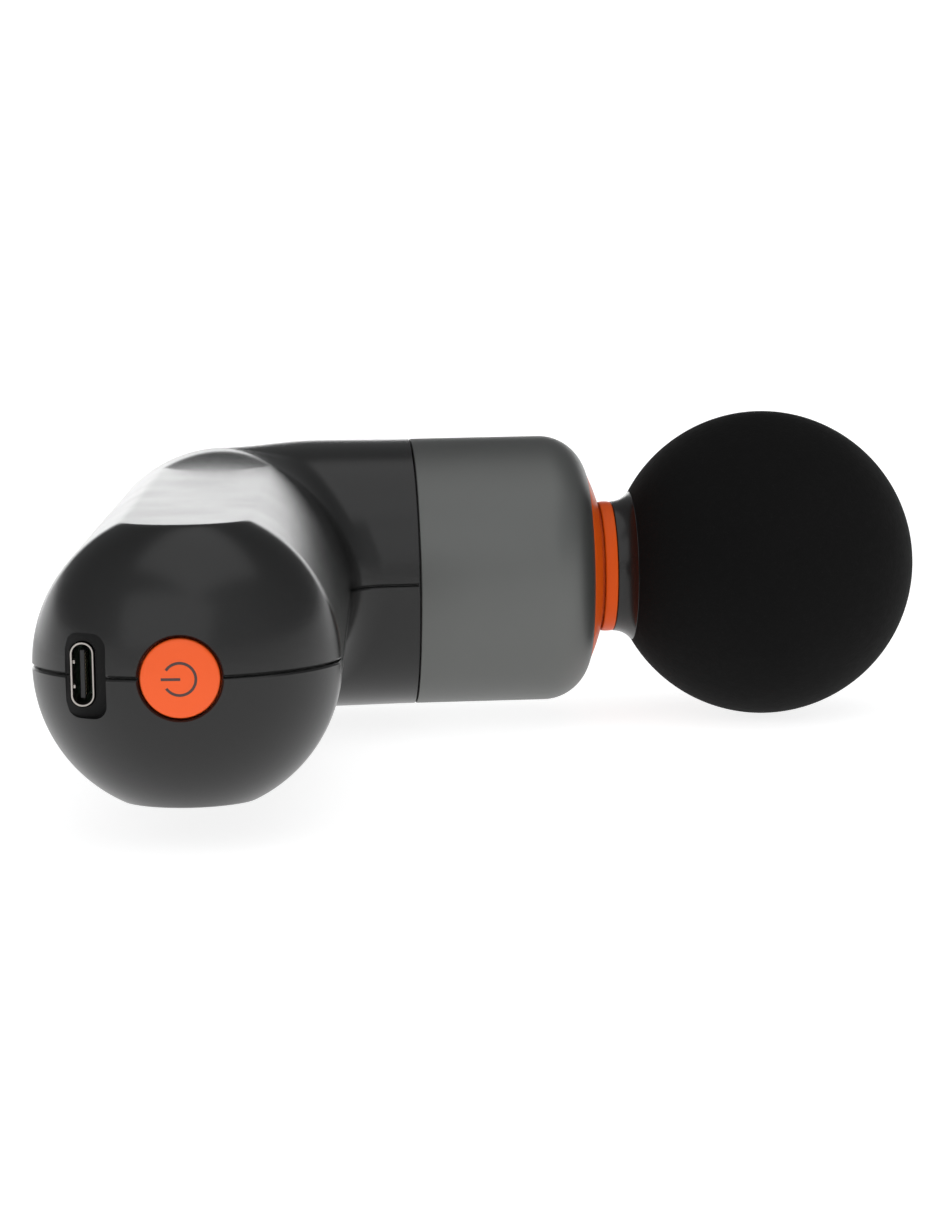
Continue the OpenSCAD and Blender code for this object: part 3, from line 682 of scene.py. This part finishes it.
bm = rounded_face(usb_t, usb_w, usb_t / 2 - 0.01, 12)
middle_face = bm.faces[:]
bmesh.ops.inset_individual(bm, faces=middle_face, thickness=port_wall, use_even_offset=True)
bmesh.ops.delete(bm, geom=middle_face, context="FACES_ONLY")
for v in new_corners(bmesh.ops.extrude_face_region(bm, geom=bm.faces[:], use_keep_orig=True)):
    v.co.z = usb_mouth - board_face
bmesh.ops.recalc_face_normals(bm, faces=bm.faces[:])
rims = [e for e in bm.edges if len(e.link_faces) == 2 and e.calc_face_angle(0) > 1.2]
rounded(bm, rims, port_rim, 3)
port = piece("port_shell", bm, in_port(board_face), "housing")
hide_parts("usb_shell")


# %% Bend the two latches into the port
def rounded_blocks(places, size, edge, segments):
    """Equal blocks at several places, each centred on its own place."""
    bm = bmesh.new()
    for place in places:
        bmesh.ops.create_cube(bm, size=1,
                              matrix=Matrix.Translation(place) @ Matrix.Diagonal((*size, 1)))
    rounded(bm, bm.edges[:], edge, segments)
    return bm


latch_x, latch_y, latch_z = -usb_t / 2 + port_wall + 0.14, 1.7, usb_mouth - 1.3
latches = rounded_blocks([(latch_x, side * latch_y, latch_z) for side in (-1, 1)],
                         (0.34, 0.5, 1.4), 0.06, 2)
piece("port_latches", latches, in_port(0), "housing")

# %% Shape the tongue and its pads
tongue_t, tongue_w, tongue_base, tongue_back = 0.7, 6.7, 112.25, 0.7
pads, pitch, pad_size, pad_back = 12, 0.5, (0.08, 0.26, 3.6), 2.4
tongue_h = usb_mouth - tongue_back - tongue_base
tongue_body = rounded_blocks([(0, 0, tongue_h / 2)], (tongue_t, tongue_w, tongue_h), 0.14, 3)
tongue = piece("port_tongue", tongue_body, in_port(tongue_base), "housing")
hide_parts("usb_tongue")
pad_places = [(face * tongue_t / 2, (k - (pads - 1) / 2) * pitch, tongue_h - pad_back)
              for k in range(pads) for face in (-1, 1)]
piece("port_pads", rounded_blocks(pad_places, pad_size, 0.02, 1), in_port(tongue_base),
      "housing")

# %% [markdown]
# ## Writing finishes as sums
#
# A finish is a small network of nodes. Wiring each Math node by hand hides what the
# network says, so a socket is wrapped in a class whose plus, minus and times add
# the nodes, and one method makes every other kind of node.

# %% A socket that can be calculated with
class Signal:
    """One output socket. Sums and products on it add Math nodes."""

    def __init__(self, finish, socket):
        self.finish, self.socket = finish, socket

    def math(self, operation, *others):
        return self.finish.node("ShaderNodeMath", {"operation": operation},
                                dict(enumerate((self,) + others)))

    def __add__(self, other):
        return self.math("ADD", other)

    def __mul__(self, other):
        return self.math("MULTIPLY", other)

    def __sub__(self, other):
        return self.math("SUBTRACT", other)

    def __rsub__(self, other):
        return self.math("MULTIPLY", -1).math("ADD", other)

    def clamped(self):
        return self.math("MAXIMUM", 0.0).math("MINIMUM", 1.0)

    __radd__, __rmul__ = __add__, __mul__


class Finish:
    """A material under construction, with its shader and its place on the piece."""

    def __init__(self, name):
        self.material = bpy.data.materials.new(name)
        self.material.use_nodes = True
        self.tree = self.material.node_tree
        self.shader = self.tree.nodes["Principled BSDF"]
        self.place = self.node("ShaderNodeTexCoord", output="Object")

    def node(self, kind, settings=None, inputs=None, output=0):
        """Add a node: its settings first, then the values or links of its sockets."""
        made = self.tree.nodes.new(kind)
        for key, value in (settings or {}).items():
            setattr(made, key, value)
        for key, value in (inputs or {}).items():
            if isinstance(value, Signal):
                self.tree.links.new(value.socket, made.inputs[key])
            else:
                made.inputs[key].default_value = value
        return Signal(self, made.outputs[output])

    def feed(self, name, value):
        """Set or link one input of the shader."""
        if isinstance(value, Signal):
            self.tree.links.new(value.socket, self.shader.inputs[name])
        else:
            self.shader.inputs[name].default_value = value

    def noise(self, size_mm, detail=3, roughness=0.5, stretch=(1, 1, 1)):
        """Noise from 0 to 1 whose features are about size_mm across."""
        per_metre = 1 / (size_mm * MM)
        spot = self.node("ShaderNodeMapping", {"vector_type": "POINT"},
                         {"Vector": self.place, "Scale": [per_metre * s for s in stretch]},
                         "Vector")
        return self.node("ShaderNodeTexNoise", None,
                         {"Vector": spot, "Scale": 1.0, "Detail": detail, "Roughness": roughness})

    def cells(self, size_mm):
        return self.node("ShaderNodeTexVoronoi", {"feature": "F1"},
                         {"Vector": self.place, "Scale": 1 / (size_mm * MM)}, "Distance")

    def tint(self, amount, low, high):
        """Mix two colours."""
        return self.node("ShaderNodeMix", {"data_type": "RGBA"},
                         {0: amount, 6: (*low, 1), 7: (*high, 1)}, 2)

    def bump(self, height, depth_mm, strength=1.0):
        self.feed("Normal", self.node(
            "ShaderNodeBump", None,
            {"Height": height, "Distance": depth_mm * MM, "Strength": strength}, "Normal"))


# %% [markdown]
# ## Moulded plastic
#
# The shells have a soft matt skin: spark-eroded steel leaves a grain of about a
# fifth of a millimetre, and hands leave broad patches that are a little smoother.
# The same recipe, with other colours and grain, makes the orange parts, the holder
# plastic and the rubber.

# %% Recipe for moulded skins
def shade(colour, factor):
    return tuple(c * factor for c in colour)


def moulded(name, colour, roughness, grain_mm=0.22, depth_mm=0.004, patch=0.05, spread=0.12):
    finish = Finish(name)
    grain = finish.noise(grain_mm, 2)
    patches = finish.noise(14, 3)
    darker, lighter = shade(colour, 1 - spread), shade(colour, 1 + spread)
    finish.feed("Base Color", finish.tint(patches, darker, lighter))
    finish.feed("Roughness", roughness - patch / 2 + patches * patch + (grain - 0.5) * 0.05)
    finish.bump(grain, depth_mm)
    return finish


# %% Skins of the outside
soft_plastic = moulded("soft matt plastic", (0.0070, 0.0069, 0.0067), 0.25)
soft_plastic.feed("Specular IOR Level", 0.42)
# The port's recess gets a darker copy of the shell plastic. Its darker colour is painted shade; its roughness and
# grain are its own finish.
recess_shade_plastic = moulded("recess plastic with painted shade", (0.004, 0.004, 0.004), 0.5, 0.3, 0.002)
recess_shade_plastic.feed("Specular IOR Level", 0.22)
orange = moulded("satin orange plastic", (0.86, 0.105, 0.014), 0.36, 0.25, 0.002, 0.04, 0.03)
orange.feed("Specular IOR Level", 0.35)
# The bezel and the accent ring take a darker copy of the orange. The darker colour is painted shade; the lower
# specular level is their finish.
shaded_orange = moulded("orange plastic with painted shade", (0.74, 0.094, 0.005), 0.38, 0.25, 0.002, 0.04, 0.03)
shaded_orange.feed("Specular IOR Level", 0.14)
rubber = moulded("black rubber", (0.016, 0.016, 0.016), 0.62, 0.3, 0.004)
port_plastic = moulded("port plastic", (0.012, 0.012, 0.013), 0.45, 0.2, 0.002)
holder_plastic = moulded("black holder plastic", (0.028, 0.028, 0.03), 0.5, 0.35, 0.006)
acetal = moulded("natural acetal", (0.7, 0.66, 0.52), 0.42, 0.4, 0.002, 0.05, 0.03)

# %% [markdown]
# ## Satin metal of the sleeve
#
# The sleeve is bead-blasted and anodised grey. Blasting leaves fine dimples, not
# lines, and the anodic layer scatters light, so part of the look is a plain grey
# body colour under a metallic one. A metallic value between the two gives that.

# %% Anodised sleeve
anodised = Finish("satin anodised gunmetal")
dimples = anodised.noise(0.16, 2)
clouds = anodised.noise(18, 3)
anodised.feed("Base Color", anodised.tint(
    clouds * 0.7 + dimples * 0.3, (0.118, 0.121, 0.117), (0.142, 0.146, 0.141)))
anodised.feed("Metallic", 0.75)
anodised.feed("Roughness", 0.40 + clouds * 0.05 + dimples * 0.04)
anodised.bump(dimples, 0.003)

# %% [markdown]
# ## Foam
#
# Closed-cell foam is nearly black, and its skin is broken by small cells. Distances
# to scattered points give round pits, and noise makes some deeper than others. The
# gloss is kept low, so that the ball stays nearly black at grazing angles too.

# %% Foam skin
foam_skin = Finish("black closed-cell foam")
pits = foam_skin.cells(0.55)
uneven = foam_skin.noise(1.4, 3)
worn = foam_skin.noise(16, 4)
foam_skin.feed("Base Color", foam_skin.tint(
    worn * 0.7 + uneven * 0.3, (0.0028, 0.0028, 0.0029), (0.0056, 0.0055, 0.0054)))
foam_skin.feed("Roughness", 0.78 + uneven * 0.16)
foam_skin.feed("Specular IOR Level", 0.1)
foam_skin.bump(pits * 0.6 + uneven * 0.7, 0.05, 0.8)

# %% [markdown]
# ## Metals and electric parts inside
#
# Most of them are seen only when the gun is opened, but each has the finish of its
# making: turned metal shows rings, the laminated core shows sheets, copper shows
# turns of wire, and the boards show their tracks. Tool marks are noise that is
# stretched along the way the tool went.

# %% Recipe for bright metals
ROUND_X, ALONG_Y, EVEN = (1, 0.06, 0.06), (1, 0.04, 1), (1, 1, 1)


def turned_metal(name, colour, roughness, stretch, streak_mm=0.3, depth_mm=0.0015):
    """Metal whose tool marks run along the directions with a small factor."""
    finish = Finish(name)
    marks = finish.noise(streak_mm, 3, 0.6, stretch)
    patches = finish.noise(9, 3)
    finish.feed("Base Color", finish.tint(
        marks * 0.6 + patches * 0.4, shade(colour, 0.88), shade(colour, 1.1)))
    finish.feed("Roughness", roughness - 0.05 + marks * 0.06 + patches * 0.05)
    finish.feed("Metallic", 1.0)
    finish.bump(marks, depth_mm)
    return finish


machined = turned_metal("machined aluminium", (0.62, 0.63, 0.65), 0.3, ROUND_X)
ground_steel = turned_metal("ground steel", (0.55, 0.56, 0.58), 0.26, ALONG_Y)
port_steel = turned_metal("bright port steel", (0.44, 0.41, 0.38), 0.3, EVEN, 0.2, 0.0008)
plated = turned_metal("plated contact", (0.78, 0.66, 0.42), 0.25, EVEN, 0.2, 0.0008)
magnet = turned_metal("plated magnet", (0.3, 0.3, 0.32), 0.3, EVEN)


# %% Bands of the core's sheets and of the wires
def banded(finish, period_mm, sharp=1.0):
    """Ripple from 0 to 1 across Y, one crest every period."""
    across_y = finish.node("ShaderNodeSeparateXYZ", None, {0: finish.place}, "Y")
    ripple = (across_y * (2 * math.pi / (period_mm * MM))).math("SINE")
    return (ripple * (0.5 * sharp) + 0.5).clamped()


laminated = Finish("laminated core steel")
sheets = banded(laminated, 0.5, 3)
laminated.feed("Base Color", laminated.tint(sheets, (0.05, 0.05, 0.055), (0.16, 0.16, 0.17)))
laminated.feed("Metallic", 0.9)
laminated.feed("Roughness", 0.4 + laminated.noise(0.4) * 0.15)
laminated.bump(sheets, 0.03)

copper = Finish("enamelled copper wire")
wires = banded(copper, 0.45)
copper.feed("Base Color", copper.tint(wires, (0.2, 0.05, 0.02), (0.62, 0.23, 0.09)))
copper.feed("Metallic", 0.8)
copper.feed("Roughness", 0.25 + copper.noise(0.5) * 0.15)
copper.bump(wires, 0.12)

# %% Boards, cells, leads and ink
board = Finish("green circuit board")
tracks = board.cells(1.6).math("GREATER_THAN", 0.42)
board.feed("Base Color", board.tint(tracks, (0.012, 0.09, 0.035), (0.02, 0.16, 0.06)))
board.feed("Roughness", 0.3 + board.noise(0.8) * 0.12)
board.bump(tracks, 0.02)

cell_wrap = moulded("green shrink sleeve", (0.02, 0.16, 0.07), 0.24, 3, 0.03, 0.06, 0.1)
chip = moulded("black chip resin", (0.02, 0.02, 0.021), 0.45, 0.15, 0.004)
pad_foam = moulded("grey pad foam", (0.07, 0.07, 0.075), 0.85, 0.5, 0.08)
red_lead = moulded("red lead insulation", (0.5, 0.02, 0.015), 0.4, 0.4, 0.004)
yellow_lead = moulded("yellow lead insulation", (0.6, 0.42, 0.03), 0.4, 0.4, 0.004)
mark_ink = moulded("dark mark ink", (0.06, 0.03, 0.025), 0.5, 0.2, 0.001)

# %% Give every piece and every CAD node its finish
by_slot = {
    "shell_plastic": soft_plastic, "gunmetal": anodised, "accent": orange,
    "seal_rubber": rubber, "bright_metal": machined, "steel": ground_steel,
    "bush_plastic": acetal, "core_steel": laminated, "copper": copper, "magnet": magnet,
    "foam": foam_skin, "cell_wrap": cell_wrap, "holder_plastic": holder_plastic,
    "nickel": plated, "pad_foam": pad_foam, "board": board, "chip": chip,
    "lead_red": red_lead, "lead_yellow": yellow_lead, "port_steel": port_steel,
    "port_black": port_plastic,
}


def dress(obj, *finishes):
    """Put finishes in an object's material slots, the last one in all that are left."""
    while len(obj.material_slots) < len(finishes):
        obj.data.materials.append(None)
    for k, slot in enumerate(obj.material_slots):
        slot.material = finishes[min(k, len(finishes) - 1)].material


for part in frame["record"]["subparts"]:
    dress(nodes[part["node"]], by_slot[part["material_slot"]])
# The shells' second slot is the recess plastic with its painted shade.
for name in ("shell_upper", "shell_lower"):
    dress(bpy.data.objects[name], soft_plastic, recess_shade_plastic)
skins = {
    "stem": soft_plastic, "sleeve": anodised, "bezel": shaded_orange, "head_ring": shaded_orange,
    "button_cap": orange, "power_mark": mark_ink, "foam_head": foam_skin,
    "port_shell": port_steel, "port_latches": port_steel, "port_tongue": port_plastic,
    "port_pads": plated,
}
for name, finish in skins.items():
    dress(bpy.data.objects[name], finish)
print("pieces dressed", len(skins), "and CAD nodes", len(nodes))

# %% [markdown]
# ## Studio
#
# The gun lies on a plain pale floor. A low pale wall stands all round, bright
# behind the gun, so that surfaces seen at a grazing angle mirror it. Above the wall
# the room is dim, most of all behind the gun, and the soft plastic stays dark. Two
# large soft lights, from the front and from above, give the colours.

# %% Floor and wall
def glowing(name, colour, strength):
    """Pale stage paint that also gives a little light of its own."""
    finish = Finish(name)
    finish.feed("Base Color", (*colour, 1))
    finish.feed("Roughness", 0.9)
    finish.feed("Specular IOR Level", 0.1)
    finish.feed("Emission Color", (1, 1, 1, 1))
    finish.feed("Emission Strength", strength)
    return finish


FLOOR_R, FLOOR_DROP, WALL_R, WALL_H, ROUND_STEPS = 6, 0.0002, 2.6, 0.6, 96
bm = bmesh.new()
bmesh.ops.create_circle(bm, cap_ends=True, segments=ROUND_STEPS, radius=FLOOR_R)
floor = piece("floor", bm, Matrix.Translation((0, 0, -FLOOR_DROP)), smooth=None)
dress(floor, glowing("pale floor", (0.5, 0.5, 0.5), 0.82))

bm = bmesh.new()
foot = [bm.verts.new((0, WALL_R, 0)), bm.verts.new((0, WALL_R, WALL_H))]
bmesh.ops.spin(bm, geom=foot + [bm.edges.new(foot)], cent=(0, 0, 0), axis=(0, 0, 1),
               angle=2 * math.pi, steps=ROUND_STEPS, use_merge=True)
low_wall = piece("wall", bm, Matrix())
paint = glowing("pale wall", (0.8, 0.8, 0.8), 1.42)
depth_y = paint.node("ShaderNodeSeparateXYZ", None, {0: paint.place}, "Y")
behind = (depth_y * 0.9 - 1.1).clamped()
paint.feed("Emission Color", paint.tint(behind, (0.16, 0.16, 0.16), (1.0, 1.0, 1.0)))
dress(low_wall, paint)
print("floor", 2 * FLOOR_R, "m across, wall", WALL_H, "m high")

# %% Dim room
world = bpy.data.worlds.new("dim room")
world.use_nodes = True
sky = world.node_tree
towards = sky.nodes.new("ShaderNodeSeparateXYZ")
sky.links.new(sky.nodes.new("ShaderNodeTexCoord").outputs["Generated"], towards.inputs[0])
spread = sky.nodes.new("ShaderNodeMapRange")
sky.links.new(towards.outputs["Y"], spread.inputs["Value"])
for key, value in (("From Min", 0.5), ("From Max", -0.6), ("To Min", 0.20), ("To Max", 0.66)):
    spread.inputs[key].default_value = value
sky.links.new(spread.outputs["Result"], sky.nodes["Background"].inputs["Strength"])
sky.nodes["Background"].inputs["Color"].default_value = (0.97, 0.985, 1.0, 1)
scene.world = world


# %% Soft lights
def soft_light(name, place, power, width, height, target=(0, 0, 0.026)):
    lamp = bpy.data.lights.new(name, "AREA")
    lamp.shape = "RECTANGLE"
    lamp.size, lamp.size_y, lamp.energy = width, height, power
    obj = bpy.data.objects.new(name, lamp)
    obj.location = place
    obj.rotation_euler = (Vector(target) - Vector(place)).to_track_quat("-Z", "Y").to_euler()
    scene.collection.objects.link(obj)
    return obj


soft_light("front light", (-0.9, -2.6, 1.7), 18, 4.0, 2.6)
soft_light("top light", (0.2, -0.2, 2.4), 12, 2.4, 2.4)

# %% [markdown]
# ## Camera
#
# A long lens stands in front of the handle's dome, a little above the gun, turned
# slightly towards the ball. Its place, its three turns and its lens are all that
# the view needs: no shift and no depth of field.

# %% Camera
EYE = Vector((-0.051777, -0.559696, 0.093159))
YAW, PITCH, ROLL = (math.radians(a) for a in (4.57, -6.868, -0.95))
ahead = Vector((math.sin(YAW) * math.cos(PITCH), math.cos(YAW) * math.cos(PITCH), math.sin(PITCH)))
level = Vector((math.cos(YAW), -math.sin(YAW), 0))
above = level.cross(ahead)
right = level * math.cos(ROLL) + above * math.sin(ROLL)
top = above * math.cos(ROLL) - level * math.sin(ROLL)
lens = bpy.data.cameras.new("camera")
lens.lens, lens.sensor_width, lens.sensor_fit = 106.67, 36, "AUTO"
lens.clip_start, lens.clip_end = 0.02, 40
camera = bpy.data.objects.new("camera", lens)
camera.matrix_world = Matrix.Translation(EYE) @ axes(right, top, -ahead)
scene.collection.objects.link(camera)
scene.camera = camera
scene.view_settings.view_transform = "Standard"
print("camera", round((EYE - crossing).length, 3), "m from the crossing,",
      "lens", round(lens.lens, 2), "mm")
